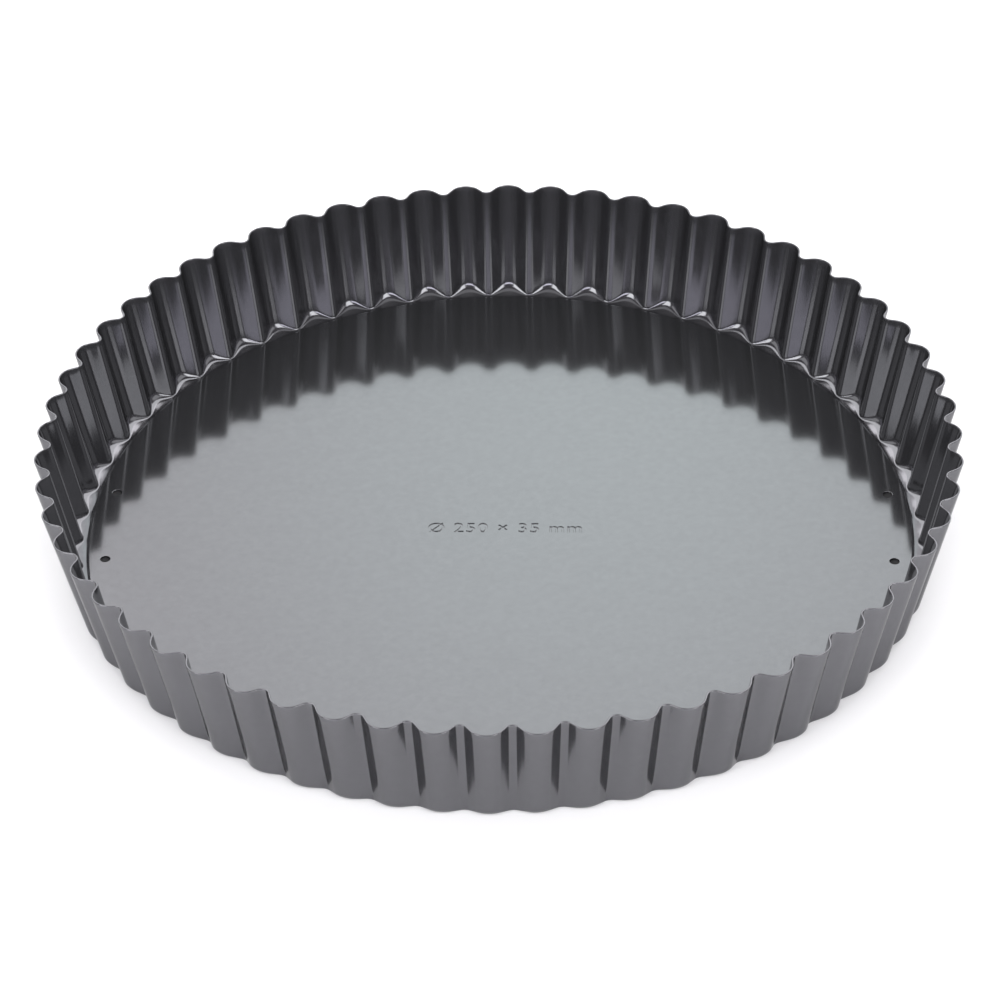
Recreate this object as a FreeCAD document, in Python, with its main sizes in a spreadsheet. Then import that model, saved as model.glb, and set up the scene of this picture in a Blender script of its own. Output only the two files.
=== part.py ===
"""Loose-bottomed fluted tart pan in coated sheet steel.

Two pressed pieces: a fluted ring with an inward ledge at its foot, and a flat
base disc that lies loose on the ledge.  Origin at the centre of the underside,
+Z up through the open mouth, millimetres.  The middle of a flute lies on +X.
"""
import FreeCAD, Part
import math
import os
import Sketcher

# Driving dimensions: alias, value, meaning.
DIMENSIONS = [
    ("flute_count", 60, "flutes round the wall"),
    ("sheet_gauge", 0.5, "thickness of the ring's sheet"),
    ("rim_height", 34.6, "underside of the ledge to the cut rim"),
    ("rim_radius", 130.0, "outside of the flutes at the rim"),
    ("rim_depth", 4.05, "depth of the flutes at the rim"),
    ("rim_lobe", 5.0, "mid-sheet radius of a flute's outward arc at the rim"),
    ("rim_groove", 2.1, "mid-sheet radius of the inward arc at the rim"),
    ("foot_height", 2.9, "height where the wall starts to turn into the ledge"),
    ("foot_radius", 123.08, "outside of the flutes at the foot"),
    ("foot_depth", 2.86, "depth of the flutes at the foot"),
    ("foot_lobe", 4.75, "mid-sheet radius of the outward arc at the foot"),
    ("foot_groove", 2.25, "mid-sheet radius of the inward arc at the foot"),
    ("bend_radius", 121.33, "outside of the flutes half-way through the turn"),
    ("bend_depth", 1.54, "depth of the flutes half-way through the turn"),
    ("sole_radius", 120.4, "outside of the flutes at the underside"),
    ("sole_depth", 0.95, "depth of the flutes at the underside"),
    ("ledge_radius", 109.5, "inner edge of the ledge"),
    ("base_radius", 118.2, "edge of the loose base"),
    ("base_gauge", 0.5, "thickness of the base's sheet"),
    ("base_edge", 0.4, "rounding of the base's upper edge"),
    ("hole_radius", 1.4, "four small holes in the base"),
    ("hole_span", 223.6, "distance between the two pairs of holes"),
    ("hole_gap", 31.2, "distance between the two holes of a pair"),
]
VALUES = {alias: value for alias, value, meaning in DIMENSIONS}


class Level:
    """The flutes' outline at one height: the aliases of its sizes."""

    def __init__(self, name, height, arcs):
        self.name = name
        self.height = height
        self.radius = f"{name}_radius"
        self.depth = f"{name}_depth"
        self.lobe = f"{arcs}_lobe"
        self.groove = f"{arcs}_groove"


RIM = Level("rim", "rim_height", "rim")
FOOT = Level("foot", "foot_height", "foot")
BEND = Level("bend", "sheet_gauge", "foot")
SOLE = Level("sole", None, "foot")


def make_sheet(doc):
    """Put every driving dimension in a spreadsheet cell with its alias."""
    sheet = doc.addObject("Spreadsheet::Sheet", "sizes")
    for row, (alias, value, meaning) in enumerate(DIMENSIONS, start=1):
        sheet.set(f"A{row}", meaning)
        sheet.set(f"B{row}", str(value))
        sheet.setAlias(f"B{row}", alias)
    doc.recompute()
    return sheet


def origin_feature(body, role):
    """Return the body's own origin plane or axis with this role."""
    for feature in body.Origin.OriginFeatures:
        if feature.Role == role:
            return feature
    raise RuntimeError(f"{body.Label} has no {role}")


def add_sketch(body, name, height=None):
    """Attach a sketch parallel to the body's XY plane, at a height alias."""
    sketch = body.newObject("Sketcher::SketchObject", name)
    sketch.AttachmentSupport = (origin_feature(body, "XY_Plane"), [""])
    sketch.MapMode = "FlatFace"
    if height:
        sketch.setExpression("AttachmentOffset.Base.z", f"sizes.{height}")
    return sketch


def constrain(sketch, kind, *where):
    """Add a constraint that holds no size."""
    return sketch.addConstraint(Sketcher.Constraint(kind, *where))


def dimension(sketch, expression, kind, *where):
    """Add a dimension and bind it to an expression."""
    index = sketch.addConstraint(Sketcher.Constraint(kind, *where))
    sketch.setExpression(f"Constraints[{index}]", expression)


# Geometry and point numbers that a sketch reserves.
X_AXIS = -1
ORIGIN = (-1, 1)
START = 1
END = 2
CENTRE = 3


def add_pitch_ray(sketch):
    """Draw the construction ray half a flute round from +X; grooves lie on it."""
    half_pitch = math.pi / VALUES["flute_count"]
    reach = VALUES["rim_radius"]
    tip = FreeCAD.Vector(reach * math.cos(half_pitch), reach * math.sin(half_pitch), 0)
    ray = sketch.addGeometry(Part.LineSegment(FreeCAD.Vector(), tip), True)
    constrain(sketch, "Coincident", ray, START, *ORIGIN)
    dimension(sketch, "180 deg / sizes.flute_count", "Angle", X_AXIS, START, ray, START, half_pitch)
    dimension(sketch, "sizes.rim_radius", "Distance", ray, reach)
    return ray


def add_half_flute(sketch, ray, level, face):
    """Draw half a flute: lobe arc from +X, straight flank, groove arc to the ray.

    face is "outer" or "inner".  Returns the indices of the two arcs.
    """
    sign = 1 if face == "outer" else -1
    gauge = VALUES["sheet_gauge"]
    tip = VALUES[level.radius] - (gauge if face == "inner" else 0)
    valley = tip - VALUES[level.depth]
    lobe = VALUES[level.lobe] + sign * gauge / 2
    groove = VALUES[level.groove] - sign * gauge / 2
    half_pitch = math.pi / VALUES["flute_count"]

    # The flank is the inner tangent of the two arcs' circles.
    up = FreeCAD.Vector(0, 0, 1)
    along_ray = FreeCAD.Vector(math.cos(half_pitch), math.sin(half_pitch), 0)
    lobe_centre = FreeCAD.Vector(tip - lobe, 0, 0)
    groove_centre = along_ray * (valley + groove)
    between = groove_centre - lobe_centre
    turn = math.atan2(between.y, between.x) - math.acos((lobe + groove) / between.Length)
    normal = FreeCAD.Vector(math.cos(turn), math.sin(turn), 0)

    lobe_circle = Part.Circle(lobe_centre, up, lobe)
    groove_circle = Part.Circle(groove_centre, up, groove)
    lobe_arc = sketch.addGeometry(Part.ArcOfCircle(lobe_circle, 0, turn), False)
    flank = sketch.addGeometry(
        Part.LineSegment(lobe_centre + normal * lobe, groove_centre - normal * groove), False)
    groove_arc = sketch.addGeometry(
        Part.ArcOfCircle(groove_circle, half_pitch + math.pi, turn + math.pi), False)

    constrain(sketch, "PointOnObject", lobe_arc, CENTRE, X_AXIS)
    constrain(sketch, "PointOnObject", lobe_arc, START, X_AXIS)
    constrain(sketch, "PointOnObject", groove_arc, CENTRE, ray)
    constrain(sketch, "PointOnObject", groove_arc, START, ray)
    constrain(sketch, "Tangent", lobe_arc, END, flank, START)
    constrain(sketch, "Tangent", flank, END, groove_arc, END)

    inward = "" if face == "outer" else " - sizes.sheet_gauge"
    lobe_side = "+" if face == "outer" else "-"
    groove_side = "-" if face == "outer" else "+"
    dimension(sketch, f"sizes.{level.lobe} {lobe_side} sizes.sheet_gauge / 2",
              "Radius", lobe_arc, lobe)
    dimension(sketch, f"sizes.{level.groove} {groove_side} sizes.sheet_gauge / 2",
              "Radius", groove_arc, groove)
    dimension(sketch, f"sizes.{level.radius}{inward}",
              "DistanceX", *ORIGIN, lobe_arc, START, tip)
    dimension(sketch, f"sizes.{level.radius} - sizes.{level.depth}{inward}",
              "Distance", *ORIGIN, groove_arc, START, valley)
    return lobe_arc, groove_arc


def point_of(sketch, geometry, where):
    """Return the place of a point in the sketch."""
    return sketch.getPoint(geometry, where)


def join(sketch, first, second):
    """Close the outline with a line between two (geometry, point) ends."""
    line = sketch.addGeometry(
        Part.LineSegment(point_of(sketch, *first), point_of(sketch, *second)), False)
    constrain(sketch, "Coincident", line, START, *first)
    constrain(sketch, "Coincident", line, END, *second)
    return line


def wall_section(body, level):
    """Section of the sheet across half a flute, at one level."""
    sketch = add_sketch(body, f"{level.name}_section", level.height)
    ray = add_pitch_ray(sketch)
    outer_lobe, outer_groove = add_half_flute(sketch, ray, level, "outer")
    inner_lobe, inner_groove = add_half_flute(sketch, ray, level, "inner")
    join(sketch, (inner_lobe, START), (outer_lobe, START))
    join(sketch, (outer_groove, START), (inner_groove, START))
    return sketch


def ledge_section(body, level):
    """Section of the ledge across half a flute: fluted outside, round inside."""
    sketch = add_sketch(body, f"{level.name}_ledge", level.height)
    ray = add_pitch_ray(sketch)
    outer_lobe, outer_groove = add_half_flute(sketch, ray, level, "outer")
    half_pitch = math.pi / VALUES["flute_count"]
    opening = Part.Circle(FreeCAD.Vector(), FreeCAD.Vector(0, 0, 1), VALUES["ledge_radius"])
    edge = sketch.addGeometry(Part.ArcOfCircle(opening, 0, half_pitch), False)
    constrain(sketch, "Coincident", edge, CENTRE, *ORIGIN)
    constrain(sketch, "PointOnObject", edge, START, X_AXIS)
    constrain(sketch, "PointOnObject", edge, END, ray)
    dimension(sketch, "sizes.ledge_radius", "Radius", edge, VALUES["ledge_radius"])
    join(sketch, (edge, START), (outer_lobe, START))
    join(sketch, (outer_groove, START), (edge, END))
    return sketch


def loft(body, name, sections):
    """Loft straight from section to section."""
    feature = body.newObject("PartDesign::AdditiveLoft", name)
    feature.Profile = sections[0]
    feature.Sections = sections[1:]
    feature.Ruled = True
    return feature


def repeat_shape(body, kind, name):
    """Add a mirror or pattern of the whole body so far."""
    feature = body.newObject(kind, name)
    feature.TransformMode = "Whole shape"
    feature.Refine = False
    body.Tip = feature
    return feature


def make_fluted_ring(doc):
    """Fluted wall and ledge: half a flute, mirrored, then repeated round the axis."""
    body = doc.addObject("PartDesign::Body", "fluted_ring")
    loft(body, "wall", [wall_section(body, level) for level in (RIM, FOOT, BEND)])
    loft(body, "ledge", [ledge_section(body, level) for level in (BEND, SOLE)])
    doc.recompute()

    mirrored = repeat_shape(body, "PartDesign::Mirrored", "other_half")
    mirrored.MirrorPlane = (origin_feature(body, "XZ_Plane"), [""])
    doc.recompute()

    flutes = repeat_shape(body, "PartDesign::PolarPattern", "flutes")
    flutes.Axis = (origin_feature(body, "Z_Axis"), [""])
    flutes.Angle = 360
    flutes.setExpression("Occurrences", "sizes.flute_count")
    doc.recompute()
    return body


def make_loose_base(doc):
    """Flat disc on the ledge, with two pairs of small holes near its edge."""
    body = doc.addObject("PartDesign::Body", "loose_base")
    outline = add_sketch(body, "base_outline", "sheet_gauge")
    disc = Part.Circle(FreeCAD.Vector(), FreeCAD.Vector(0, 0, 1), VALUES["base_radius"])
    edge = outline.addGeometry(disc, False)
    constrain(outline, "Coincident", edge, CENTRE, *ORIGIN)
    dimension(outline, "sizes.base_radius", "Radius", edge, VALUES["base_radius"])
    sheet = body.newObject("PartDesign::Pad", "base_sheet")
    sheet.Profile = outline
    sheet.setExpression("Length", "sizes.base_gauge")
    doc.recompute()

    centres = add_sketch(body, "hole_outlines", "sheet_gauge")
    for side in (-1, 1):
        for end in (-1, 1):
            add_hole(centres, side, end)
    holes = body.newObject("PartDesign::Pocket", "holes")
    holes.Profile = centres
    holes.Type = "ThroughAll"
    holes.Reversed = True
    doc.recompute()
    removed = sheet.Shape.Volume - holes.Shape.Volume
    expected = 4 * math.pi * VALUES["hole_radius"] ** 2 * VALUES["base_gauge"]
    if abs(removed - expected) > 0.01 * expected:
        raise RuntimeError("the holes in the base cut the wrong volume")

    rounding = body.newObject("PartDesign::Fillet", "edge_rounding")
    rounding.Base = (holes, upper_edges(holes.Shape, VALUES["base_radius"]))
    rounding.setExpression("Radius", "sizes.base_edge")
    body.Tip = rounding
    return body


def add_hole(sketch, side, end):
    """Draw one hole at the given side (x) and end (y) of the base."""
    across = VALUES["hole_span"] / 2
    along = VALUES["hole_gap"] / 2
    place = FreeCAD.Vector(side * across, end * along, 0)
    circle = Part.Circle(place, FreeCAD.Vector(0, 0, 1), VALUES["hole_radius"])
    hole = sketch.addGeometry(circle, False)
    dimension(sketch, "sizes.hole_radius", "Radius", hole, VALUES["hole_radius"])
    x_ends = (*ORIGIN, hole, CENTRE) if side > 0 else (hole, CENTRE, *ORIGIN)
    y_ends = (*ORIGIN, hole, CENTRE) if end > 0 else (hole, CENTRE, *ORIGIN)
    dimension(sketch, "sizes.hole_span / 2", "DistanceX", *x_ends, across)
    dimension(sketch, "sizes.hole_gap / 2", "DistanceY", *y_ends, along)


def upper_edges(shape, radius):
    """Name the round edges of this radius that lie on the base's upper face."""
    top = VALUES["sheet_gauge"] + VALUES["base_gauge"]
    names = []
    for number, edge in enumerate(shape.Edges, start=1):
        if not isinstance(edge.Curve, Part.Circle):
            continue
        if abs(edge.Curve.Radius - radius) < 1e-6 and abs(edge.Curve.Center.z - top) < 1e-6:
            names.append(f"Edge{number}")
    return names


def check(doc, bodies):
    """Stop if any feature failed or a piece isn't one valid solid."""
    for item in doc.Objects:
        if "Invalid" in item.State or "Error" in item.State:
            raise RuntimeError(f"{item.Label} failed: {item.State}")
    for body in bodies:
        shape = body.Shape
        if shape.isNull() or not shape.isValid() or len(shape.Solids) != 1:
            raise RuntimeError(f"{body.Label} isn't one valid solid")


def export(bodies):
    """Write each piece to parts/NODE.step, named by its label."""
    os.makedirs("parts", exist_ok=True)
    for body in bodies:
        body.Shape.exportStep(f"parts/{body.Label}.step")
        box = body.Shape.optimalBoundingBox()
        print(f"{body.Label}: {box.XLength:.2f} x {box.YLength:.2f} x {box.ZLength:.2f} mm, "
              f"{body.Shape.Volume:.0f} mm3")


def main():
    doc = FreeCAD.newDocument("tart_pan")
    make_sheet(doc)
    bodies = [make_fluted_ring(doc), make_loose_base(doc)]
    doc.recompute()
    check(doc, bodies)
    export(bodies)


main()
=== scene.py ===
"""Tart pan in non-stick coated sheet steel: a fluted ring and a loose base disc."""
import math

import bmesh
import bpy
import numpy as np
from mathutils import Matrix, Vector


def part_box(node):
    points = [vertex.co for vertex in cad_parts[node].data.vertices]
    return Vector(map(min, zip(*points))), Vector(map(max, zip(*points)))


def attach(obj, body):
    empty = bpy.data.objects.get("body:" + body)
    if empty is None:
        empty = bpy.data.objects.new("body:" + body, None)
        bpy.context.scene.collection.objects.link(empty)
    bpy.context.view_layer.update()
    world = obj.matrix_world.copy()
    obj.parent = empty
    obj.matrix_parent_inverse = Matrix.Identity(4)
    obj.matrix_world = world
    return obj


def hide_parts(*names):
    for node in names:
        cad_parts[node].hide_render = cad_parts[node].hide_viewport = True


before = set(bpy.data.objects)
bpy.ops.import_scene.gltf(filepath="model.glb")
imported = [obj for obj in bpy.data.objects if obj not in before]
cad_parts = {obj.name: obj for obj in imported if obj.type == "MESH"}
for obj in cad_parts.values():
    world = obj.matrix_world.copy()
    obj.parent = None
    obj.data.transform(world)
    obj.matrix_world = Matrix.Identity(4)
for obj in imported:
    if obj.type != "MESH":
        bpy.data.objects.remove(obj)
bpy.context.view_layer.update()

MM = 0.001

# ---------------------------------------------------------------- sizes, in millimetres

ring_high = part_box("fluted_ring")[1]
base_low, base_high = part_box("loose_base")

FLUTES = 60
RIM_RADIUS = ring_high.x / MM
RIM_HEIGHT = ring_high.z / MM
BASE_RADIUS = base_high.x / MM
BASE_TOP = base_high.z / MM
GAUGE = base_low.z / MM               # the base lies on the ledge, so this is the ledge's sheet

RIM_DEPTH = 4.05                      # from a flute's tip to the groove beside it
RIM_LOBE = 5.0                        # mid-sheet radius of the outward arc
RIM_GROOVE = 2.1                      # mid-sheet radius of the inward arc
FOOT_HEIGHT = 2.0
FOOT_RADIUS = 122.89
FOOT_DEPTH = 2.83
FOOT_LOBE = 4.75
FOOT_GROOVE = 2.25
LEDGE_RADIUS = 109.5
SHELF_RADIUS = 118.25                 # the ledge is flat under the base and dished outside it
SHELF_SLOPE = 6.0, 17.0               # degrees up towards the wall, at a groove and at a lobe
LOBE_BEND = {"outside": 3.7, "inside": 3.6}      # radius of the bend at the foot, under a lobe
GROOVE_BEND = {"outside": 0.5, "inside": 0.5}    # and under a groove
CUT_ROUNDING = 0.18                   # the coating rounds the sheet's cut edges

PAINTED_SHADE_RADIUS = 117.4                 # the ledge is painted near-black inside this, under the base: painted shade, so the holes look dark

BASE_ROLL = 0.8, 0.38                 # width and drop of the rolled upper edge of the base
BASE_EASE = 0.08                      # rounding of its lower edge
HOLE_RADIUS = 1.4
HOLE_ROUNDING = 0.12                  # the coating rounds the edges of the holes
HOLE_SPAN = 223.6                     # between the left and the right pair
HOLE_GAP = 31.2                       # between the two holes of a pair
SIZE_MARK = "Ø 250 × 35 mm"           # a plain size, diameter by height
MARK_PLACE = 1.5, -0.8                # the middle of the mark
MARK_WIDTH = 44.0
MARK_DEPTH = 0.28
MARK_BEVEL = 0.12                     # slopes the sides of the stamped strokes


# ---------------------------------------------------------------- fluted ring

def half_flute(tip, valley, lobe, groove, steps=(9, 3, 6)):
    """Points of half a flute, from its tip on +X to its groove half a pitch round.

    An outward arc, a straight flank and an inward arc, tangent to each other.
    """
    half_pitch = math.pi / FLUTES
    along_ray = np.array([math.cos(half_pitch), math.sin(half_pitch)])
    lobe_centre = np.array([tip - lobe, 0.0])
    groove_centre = along_ray * (valley + groove)
    across, up = groove_centre - lobe_centre
    turn = math.atan2(up, across) - math.acos((lobe + groove) / math.hypot(across, up))

    lobe_steps, flank_steps, groove_steps = steps
    angles = np.linspace(0, turn, lobe_steps + 1)
    lobe_arc = lobe_centre + lobe * np.stack([np.cos(angles), np.sin(angles)], 1)
    angles = np.linspace(turn, half_pitch, groove_steps + 1)
    groove_arc = groove_centre - groove * np.stack([np.cos(angles), np.sin(angles)], 1)
    share = np.linspace(0, 1, flank_steps + 1)[1:-1, None]
    flank = lobe_arc[-1] + share * (groove_arc[0] - lobe_arc[-1])
    return np.concatenate([lobe_arc, flank, groove_arc])


def flute_loop(tip, depth, lobe, groove):
    """The whole fluted outline, as x and y of every point, anticlockwise from +X."""
    half = half_flute(tip, tip - depth, lobe, groove)
    other_half = half[::-1] * [1, -1]
    flute = np.concatenate([other_half[1:-1], half])
    points = []
    for number in range(FLUTES):
        angle = 2 * math.pi * number / FLUTES
        cosine, sine = math.cos(angle), math.sin(angle)
        points.append(flute @ np.array([[cosine, sine], [-sine, cosine]]))
    return np.concatenate(points)


def level(loop, height):
    """Lift a flat loop to a height."""
    return np.column_stack([loop, np.full(len(loop), height)])


def arc_between(start, corner, end, steps):
    """Loops along a rounded corner: a rational curve that is a true arc for equal arms."""
    first = start - corner
    second = end - corner
    lengths = np.linalg.norm(first, axis=1) * np.linalg.norm(second, axis=1)
    cosine = (first * second).sum(1) / lengths
    weight = np.sqrt((1 - np.clip(cosine, -1, 1)) / 2)[:, None]
    loops = []
    for share in np.linspace(0, 1, steps + 1):
        parts = [(1 - share) ** 2, 2 * share * (1 - share) * weight, share ** 2]
        total = parts[0] + parts[1] + parts[2]
        loops.append((parts[0] * start + parts[1] * corner + parts[2] * end) / total)
    return loops


def toward(point, target, distance):
    """Step from each point towards its target by a distance."""
    way = target - point
    share = np.broadcast_to(distance, len(point)) / np.linalg.norm(way, axis=1)
    return point + way * share[:, None]


def sheet_face(sign):
    """One face of the ring's sheet: (rim loop, foot loop), sign +1 outside and -1 inside."""
    shift = (sign - 1) / 2 * GAUGE
    rim = flute_loop(RIM_RADIUS + shift, RIM_DEPTH,
                     RIM_LOBE + sign * GAUGE / 2, RIM_GROOVE - sign * GAUGE / 2)
    foot = flute_loop(FOOT_RADIUS + shift, FOOT_DEPTH,
                      FOOT_LOBE + sign * GAUGE / 2, FOOT_GROOVE - sign * GAUGE / 2)
    return level(rim, RIM_HEIGHT), level(foot, FOOT_HEIGHT)


def at_radius(loop, radius, height):
    """The points straight inward of a loop's, at a radius and a height."""
    points = loop * (radius / np.linalg.norm(loop[:, :2], axis=1))[:, None]
    points[:, 2] = height
    return points


def between(start, end, shares):
    """Loops part of the way from one loop to another."""
    return [start + (end - start) * share for share in shares]


def wall_to_ledge(rim, foot, side):
    """Loops down one face of the sheet: wall, rounded bend, and in along the ledge."""
    inside = side == "inside"
    floor = GAUGE if inside else 0.0
    reach = np.linalg.norm(foot[:, :2], axis=1)
    lobe_share = (reach - reach.min()) / (reach.max() - reach.min())
    corner_height = np.full(len(foot), floor)
    if inside:
        slope = SHELF_SLOPE[0] + (SHELF_SLOPE[1] - SHELF_SLOPE[0]) * lobe_share
        corner_height += np.tan(np.radians(slope)) * (reach - SHELF_RADIUS)
    fall = (FOOT_HEIGHT - corner_height) / (rim[:, 2] - FOOT_HEIGHT)
    corner = foot + (foot - rim) * fall[:, None]
    shelf = at_radius(corner, SHELF_RADIUS, floor)
    ledge_edge = at_radius(corner, LEDGE_RADIUS, floor)

    # The bend's radius follows the flute, and its arms follow from the turn.
    bend = GROOVE_BEND[side] + (LOBE_BEND[side] - GROOVE_BEND[side]) * lobe_share
    up_wall = rim - corner
    along_ledge = shelf - corner
    cosine = (up_wall * along_ledge).sum(1)
    cosine /= np.linalg.norm(up_wall, axis=1) * np.linalg.norm(along_ledge, axis=1)
    arm = bend / np.tan(np.arccos(cosine) / 2)
    arm = np.minimum(arm, 0.97 * np.linalg.norm(along_ledge, axis=1))
    bend_start = toward(corner, rim, arm)
    bend_end = toward(corner, shelf, arm)

    loops = between(toward(rim, corner, CUT_ROUNDING), bend_start, np.linspace(0, 0.94, 16))
    loops += arc_between(bend_start, corner, bend_end, 10)
    loops += between(bend_end, shelf, (0.5, 0.9))
    loops += between(shelf, toward(ledge_edge, shelf, CUT_ROUNDING), (0.1, 0.5, 1.0))
    return loops, ledge_edge


def make_fluted_ring():
    """The pressed ring: one closed skin of loops round the pan, each joined to the next."""
    outer_rim, outer_foot = sheet_face(+1)
    inner_rim, inner_foot = sheet_face(-1)
    # The rim is cut square to the leaning sheet, so its outer corner lies lower.
    lean = np.linalg.norm((outer_rim - outer_foot)[:, :2], axis=1) / (RIM_HEIGHT - FOOT_HEIGHT)
    outer_rim = toward(outer_rim, outer_foot, GAUGE * lean)

    outer, outer_edge = wall_to_ledge(outer_rim, outer_foot, "outside")
    inner, inner_edge = wall_to_ledge(inner_rim, inner_foot, "inside")
    rim_out = toward(outer_rim, inner_rim, CUT_ROUNDING)
    rim_in = toward(inner_rim, outer_rim, CUT_ROUNDING)
    ledge_out = toward(outer_edge, inner_edge, CUT_ROUNDING)
    ledge_in = toward(inner_edge, outer_edge, CUT_ROUNDING)

    loops = arc_between(rim_out, outer_rim, outer[0], 4)[:-1]
    loops += outer
    loops += arc_between(outer[-1], outer_edge, ledge_out, 2)[1:]
    loops += arc_between(ledge_in, inner_edge, inner[-1], 2)[:-1]
    loops += inner[::-1]
    loops += arc_between(inner[0], inner_rim, rim_in, 4)[1:]

    around = len(loops[0])
    rows = np.arange(len(loops))[:, None] * around
    columns = np.arange(around)[None, :]
    next_rows = np.roll(rows, -1, axis=0)
    next_columns = np.roll(columns, -1, axis=1)
    faces = np.stack([rows + columns, next_rows + columns,
                      next_rows + next_columns, rows + next_columns], -1).reshape(-1, 4)
    return make_mesh("fluted_ring_skin", np.concatenate(loops), faces.tolist())


def make_mesh(name, points, faces):
    """A smooth-shaded mesh object from points in millimetres."""
    mesh = bpy.data.meshes.new(name)
    mesh.from_pydata((np.asarray(points) * MM).tolist(), [], faces)
    mesh.validate()
    mesh.shade_smooth()
    piece = bpy.data.objects.new(name, mesh)
    bpy.context.scene.collection.objects.link(piece)
    return piece


# ---------------------------------------------------------------- loose base

def lathe(name, profile, steps):
    """Turn a closed profile of (radius, height) points round the Z axis; radius 0 makes a cap."""
    points = []
    starts = []
    for radius, height in profile:
        starts.append(len(points))
        if radius == 0:
            points.append((0, 0, height))
            continue
        for number in range(steps):
            angle = 2 * math.pi * number / steps
            points.append((radius * math.cos(angle), radius * math.sin(angle), height))
    faces = []
    for (first, start), (second, end) in zip(zip(profile, starts), zip(profile[1:], starts[1:])):
        for number in range(steps):
            follow = (number + 1) % steps
            if first[0] == 0:
                faces.append((start, end + number, end + follow))
            elif second[0] == 0:
                faces.append((start + number, end, start + follow))
            else:
                faces.append((start + number, end + number, end + follow, start + follow))
    return make_mesh(name, points, faces)


def stamped_edge(radius, low, high):
    """Profile down a stamped sheet's edge: rolled over above, barely eased below."""
    profile = []
    roll_width, roll_drop = BASE_ROLL
    for width, drop, centre, first in ((roll_width, roll_drop, high - roll_drop, 90),
                                       (BASE_EASE, BASE_EASE, low + BASE_EASE, 0)):
        for step in range(9):
            angle = math.radians(first - 90 * step / 8)
            profile.append((radius - width + width * math.cos(angle),
                            centre + drop * math.sin(angle)))
    return profile


def hole_cutter(x, y):
    """A plug for one hole, flared at both faces so that the hole's edges come out rounded."""
    rounding = HOLE_ROUNDING
    profile = [(0, GAUGE - 1)]
    profile.append((HOLE_RADIUS + rounding + 1, GAUGE - 1))
    for centre, first in ((GAUGE + rounding, -90), (BASE_TOP - rounding, 0)):
        for step in range(5):
            angle = math.radians(first + 90 * step / 4)
            profile.append((HOLE_RADIUS + rounding - rounding * math.cos(angle),
                            centre + rounding * math.sin(angle)))
    profile.append((HOLE_RADIUS + rounding + 1, BASE_TOP + 1))
    profile.append((0, BASE_TOP + 1))
    cutter = lathe("hole_plug", profile[::-1], steps=40)
    cutter.location = (x * MM, y * MM, 0)
    return cutter


def size_mark_cutter():
    """The size mark as solid figures that reach into the base's upper face."""
    text = bpy.data.curves.new("size_mark", "FONT")
    text.body = SIZE_MARK
    text.align_x = "CENTER"
    text.align_y = "CENTER"
    text.size = 6.6
    text.space_character = 1.1
    text.offset = -0.08                # room for the bevel beside each stroke
    text.bevel_depth = MARK_BEVEL
    half_height = 0.5
    text.extrude = half_height
    carrier = bpy.data.objects.new("size_mark", text)
    bpy.context.scene.collection.objects.link(carrier)
    bpy.context.view_layer.update()
    mesh = bpy.data.meshes.new_from_object(carrier)
    bpy.data.objects.remove(carrier)
    width = max(v.co.x for v in mesh.vertices) - min(v.co.x for v in mesh.vertices)
    mesh.transform(Matrix.Diagonal((MM * MARK_WIDTH / width, MM * MARK_WIDTH / width, MM, 1)))
    middle = BASE_TOP - MARK_DEPTH + half_height + MARK_BEVEL
    mesh.transform(Matrix.Translation((MARK_PLACE[0] * MM, MARK_PLACE[1] * MM, middle * MM)))
    solid = bmesh.new()
    solid.from_mesh(mesh)
    bmesh.ops.remove_doubles(solid, verts=solid.verts, dist=0.004 * MM)
    solid.to_mesh(mesh)
    solid.free()
    cutter = bpy.data.objects.new("size_mark_cutter", mesh)
    bpy.context.scene.collection.objects.link(cutter)
    return cutter


def cut_away(piece, cutters):
    """Cut each cutter out of the piece, then delete the cutters."""
    for cutter in cutters:
        cut = piece.modifiers.new("cut", "BOOLEAN")
        cut.operation = "DIFFERENCE"
        cut.solver = "EXACT"
        cut.object = cutter
    bpy.context.view_layer.update()
    graph = bpy.context.evaluated_depsgraph_get()
    result = bpy.data.meshes.new_from_object(piece.evaluated_get(graph))
    piece.modifiers.clear()
    result.set_sharp_from_angle(angle=math.radians(30))
    piece.data = result
    # The flat faces keep flat normals; only the narrow roundings shade round.
    flat_first = piece.modifiers.new("flat_first", "WEIGHTED_NORMAL")
    flat_first.weight = 100
    flat_first.keep_sharp = True
    for cutter in cutters:
        bpy.data.objects.remove(cutter)


def make_loose_base():
    """The base disc with its four holes and its size mark."""
    profile = [(0, BASE_TOP)]
    profile += [(reach, BASE_TOP) for reach in (40.0, 80.0, 110.0)]
    profile += stamped_edge(BASE_RADIUS, GAUGE, BASE_TOP)
    profile.append((0, GAUGE))
    disc = lathe("loose_base_sheet", profile, steps=360)
    cutters = [size_mark_cutter()]
    for side in (-1, 1):
        for end in (-1, 1):
            cutters.append(hole_cutter(side * HOLE_SPAN / 2, end * HOLE_GAP / 2))
    cut_away(disc, cutters)
    return disc


# ---------------------------------------------------------------- materials

def linear(colour):
    """Turn an sRGB hex colour into linear red, green, blue and alpha."""
    channels = [int(colour[start:start + 2], 16) / 255 for start in (1, 3, 5)]
    values = [c / 12.92 if c <= 0.04045 else ((c + 0.055) / 1.055) ** 2.4 for c in channels]
    return (*values, 1.0)


def add_node(tree, kind, inputs=None, **settings):
    """Add a shader node with its settings, and its inputs as values or (node, output) links."""
    node = tree.nodes.new(kind)
    for name, value in settings.items():
        setattr(node, name, value)
    for name, value in (inputs or {}).items():
        if isinstance(value, tuple) and isinstance(value[0], bpy.types.Node):
            tree.links.new(value[0].outputs[value[1]], node.inputs[name])
        else:
            node.inputs[name].default_value = value
    return node


def mix_colours(tree, factor, first, second):
    """Blend two colours by a factor; output 2 of the node is the colour."""
    return add_node(tree, "ShaderNodeMix", {0: factor, 6: first, 7: second}, data_type="RGBA")


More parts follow.
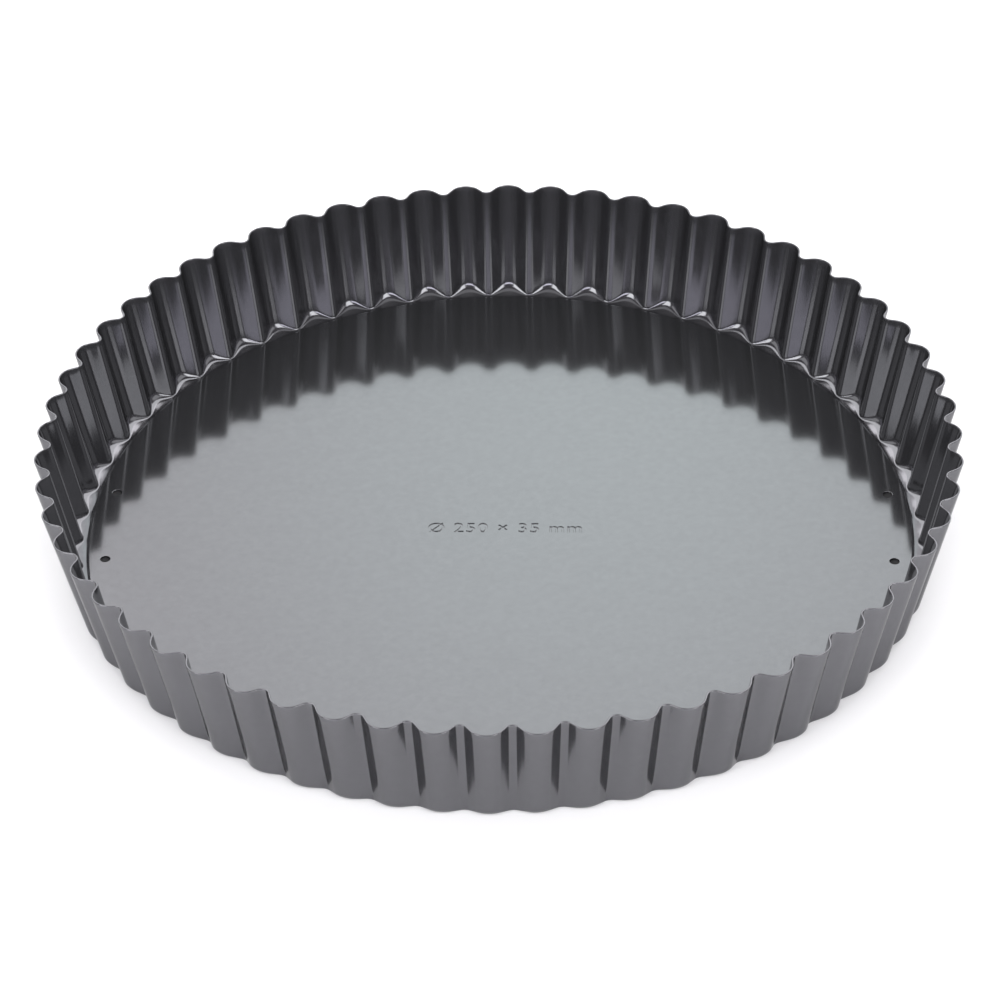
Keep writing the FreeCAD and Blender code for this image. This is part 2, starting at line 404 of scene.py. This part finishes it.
def coated_steel(name, colour, roughness):
    """Sheet steel with a sprayed and baked non-stick coating.

    A dark grey fluoropolymer with fine metal flake: it reflects like a dull
    metal, with a soft mirror image, over a faint orange-peel surface.
    """
    material = bpy.data.materials.new(name)
    material.use_nodes = True
    tree = material.node_tree
    tree.nodes.clear()
    place = add_node(tree, "ShaderNodeTexCoord")

    # Orange peel of the baked spray, about 0.9 mm from crest to crest.
    peel = add_node(tree, "ShaderNodeTexNoise", {
        "Vector": (place, "Object"), "Scale": 1 / (0.9 * MM), "Detail": 2.0, "Roughness": 0.55})
    peel_bump = add_node(tree, "ShaderNodeBump", {
        "Height": (peel, "Fac"), "Strength": 0.12, "Distance": 0.02 * MM})
    # The pressed sheet's own slight waviness, about 25 mm across.
    wave = add_node(tree, "ShaderNodeTexNoise", {
        "Vector": (place, "Object"), "Scale": 1 / (25 * MM), "Detail": 1.0})
    wave_bump = add_node(tree, "ShaderNodeBump", {
        "Height": (wave, "Fac"), "Strength": 0.3, "Distance": 0.12 * MM,
        "Normal": (peel_bump, "Normal")})

    # The flake settles in faint clouds while the spray is wet, about 2 mm across.
    flake = add_node(tree, "ShaderNodeTexNoise", {
        "Vector": (place, "Object"), "Scale": 1 / (2.0 * MM), "Detail": 3.0, "Roughness": 0.65})
    thin, thick = [tuple(share * value for value in linear(colour)) for share in (0.91, 1.09)]
    tone = mix_colours(tree, (flake, "Fac"), thin, thick)

    # The resin round the flake holds back the glare at a grazing angle: a grey specular tint.
    shader = add_node(tree, "ShaderNodeBsdfPrincipled", {
        "Base Color": (tone, 2), "Metallic": 0.9, "Roughness": roughness,
        "Specular Tint": (0.65, 0.65, 0.65, 1.0), "Normal": (wave_bump, "Normal")})
    add_node(tree, "ShaderNodeOutputMaterial", {"Surface": (shader, "BSDF")})
    return material


def painted_shade_coat(name):
    """Matt near-black coat: painted shade on the ledge under the base, where it shows through the
    holes.

    It drinks in the light, and its fine grit keeps it dull and a little uneven.
    """
    material = bpy.data.materials.new(name)
    material.use_nodes = True
    tree = material.node_tree
    tree.nodes.clear()
    place = add_node(tree, "ShaderNodeTexCoord")
    grit = add_node(tree, "ShaderNodeTexNoise", {
        "Vector": (place, "Object"), "Scale": 1 / (0.7 * MM), "Detail": 3.0, "Roughness": 0.6})
    grit_bump = add_node(tree, "ShaderNodeBump", {
        "Height": (grit, "Fac"), "Strength": 0.4, "Distance": 0.03 * MM})
    tone = mix_colours(tree, (grit, "Fac"), linear("#161618"), linear("#242426"))
    shader = add_node(tree, "ShaderNodeBsdfPrincipled", {
        "Base Color": (tone, 2), "Roughness": 0.8, "Normal": (grit_bump, "Normal")})
    add_node(tree, "ShaderNodeOutputMaterial", {"Surface": (shader, "BSDF")})
    return material


def give_material(piece, material):
    """Make a material the piece's only one."""
    piece.data.materials.clear()
    piece.data.materials.append(material)


# ---------------------------------------------------------------- studio

def make_camera():
    """A long lens in front of the pan, looking down at it and a little from the right."""
    azimuth, elevation, roll = math.radians(2.0), math.radians(37.67), math.radians(-1.075)
    distance = 1.0046
    back = Vector((math.sin(azimuth) * math.cos(elevation),
                   -math.cos(azimuth) * math.cos(elevation), math.sin(elevation)))
    right = Vector((math.cos(azimuth), math.sin(azimuth), 0))
    up = back.cross(right)
    right, up = (right * math.cos(roll) + up * math.sin(roll),
                 up * math.cos(roll) - right * math.sin(roll))
    facing = Matrix((right, up, back)).transposed().to_4x4()
    lens = bpy.data.cameras.new("camera")
    lens.lens = 126.12
    lens.sensor_width = 36
    lens.shift_y = 0.0283
    lens.clip_end = 50
    camera = bpy.data.objects.new("camera", lens)
    place = back * distance + Vector((0, 0, 0.3 * MM))
    camera.matrix_world = Matrix.Translation(place) @ facing
    bpy.context.scene.collection.objects.link(camera)
    bpy.context.scene.camera = camera


def make_floor():
    """A pale matt table top under the pan."""
    mesh = bpy.data.meshes.new("floor")
    reach = 4.0
    corners = [(-reach, -reach, 0), (reach, -reach, 0), (reach, reach, 0), (-reach, reach, 0)]
    mesh.from_pydata(corners, [], [(0, 1, 2, 3)])
    floor = bpy.data.objects.new("floor", mesh)
    bpy.context.scene.collection.objects.link(floor)
    material = bpy.data.materials.new("white_table_top")
    material.use_nodes = True
    shader = material.node_tree.nodes["Principled BSDF"]
    shader.inputs["Base Color"].default_value = linear("#f4f4f4")
    shader.inputs["Roughness"].default_value = 1.0
    shader.inputs["Specular IOR Level"].default_value = 0.0
    give_material(floor, material)


def softbox(name, azimuth, elevation, distance, width, height, radiance,
            colour="#ffffff", mirrored=True, edge_colour=None):
    """A soft light that faces the pan, from a compass azimuth (0 is the camera's side).

    Angles are in degrees and sizes in metres. One that isn't mirrored lights the
    table but can't be seen in the coating. One with an edge colour fades to it
    from its brightest spot.
    """
    azimuth, elevation = math.radians(azimuth), math.radians(elevation)
    light = bpy.data.lights.new(name, "AREA")
    light.shape = "RECTANGLE"
    light.size = width
    light.size_y = height
    light.energy = radiance * math.pi * width * height
    if edge_colour:
        fade_to_edge(light, colour, edge_colour)
    else:
        light.color = linear(colour)[:3]
    place = Vector((math.sin(azimuth) * math.cos(elevation),
                    -math.cos(azimuth) * math.cos(elevation), math.sin(elevation))) * distance
    lamp = bpy.data.objects.new(name, light)
    lamp.location = place
    lamp.rotation_euler = place.to_track_quat("Z", "Y").to_euler()
    lamp.visible_camera = False
    lamp.visible_glossy = mirrored
    bpy.context.scene.collection.objects.link(lamp)


def fade_to_edge(light, colour, edge_colour):
    """Make a light fade from a bright spot, as cloth does with the lamp close behind it."""
    spot = light.size / 2, light.size_y / 2 - 0.22, 0.0
    spot_reach = 0.7
    light.use_nodes = True
    tree = light.node_tree
    tree.nodes.clear()
    place = add_node(tree, "ShaderNodeNewGeometry")
    metres = add_node(tree, "ShaderNodeVectorMath", {
        0: (place, "Parametric"), 1: (light.size, light.size_y, 0.0)}, operation="MULTIPLY")
    reach = add_node(tree, "ShaderNodeVectorMath", {
        0: (metres, "Vector"), 1: spot}, operation="DISTANCE")
    fade = add_node(tree, "ShaderNodeMapRange", {
        "Value": (reach, "Value"), "From Max": spot_reach}, interpolation_type="SMOOTHSTEP")
    shade = mix_colours(tree, (fade, "Result"), linear(colour), linear(edge_colour))
    glow = add_node(tree, "ShaderNodeEmission", {"Color": (shade, 2)})
    add_node(tree, "ShaderNodeOutputLight", {"Surface": (glow, "Emission")})


def make_world(colour, strength):
    """The dim, even light of the room."""
    world = bpy.data.worlds.new("studio_air")
    bpy.context.scene.world = world
    world.use_nodes = True
    background = world.node_tree.nodes["Background"]
    background.inputs["Color"].default_value = linear(colour)
    background.inputs["Strength"].default_value = strength


# ---------------------------------------------------------------- making

bpy.context.scene.view_settings.view_transform = "Standard"
make_camera()
make_floor()
make_world("#a8a4ac", 0.4)
softbox("back_softbox", 178.7, 40, 2.0, 1.25, 1.75, 2.18, "#f7fffe", edge_colour="#d6d0d3")
softbox("back_left_softbox", -144, 39, 2.0, 1.1, 1.9, 2.8)
softbox("back_right_softbox", 144, 39, 2.0, 1.1, 1.9, 2.8)
softbox("top_softbox", 180, 88, 1.8, 1.6, 1.0, 0.6)
softbox("front_left_softbox", -45, 31, 1.8, 0.9, 1.3, 4.5)
softbox("front_right_softbox", 45, 31, 1.8, 0.9, 1.3, 4.5)
softbox("front_fill", 0, 20, 2.4, 2.1, 0.6, 4.8, "#f6f3ff")
softbox("left_softbox", -95, 30, 1.8, 1.2, 0.9, 1.0)
softbox("right_softbox", 95, 30, 1.8, 1.2, 0.9, 1.0)
softbox("table_fill", 0, 40, 2.0, 1.8, 1.2, 2.5, mirrored=False)

ring = make_fluted_ring()
give_material(ring, coated_steel("non_stick_on_ring", "#6b6b6e", 0.15))
# Painted shade: the ledge's upper faces under the base take a near-black coat, so the holes look
# dark.
ring.data.materials.append(painted_shade_coat("painted_shade_under_base"))
for face in ring.data.polygons:
    reach = math.hypot(face.center.x, face.center.y)
    if face.normal.z > 0.5 and reach < PAINTED_SHADE_RADIUS * MM:
        face.material_index = 1
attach(ring, "ring")
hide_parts("fluted_ring")

base = make_loose_base()
give_material(base, coated_steel("non_stick_on_base", "#767779", 0.1))
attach(base, "base")
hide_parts("loose_base")
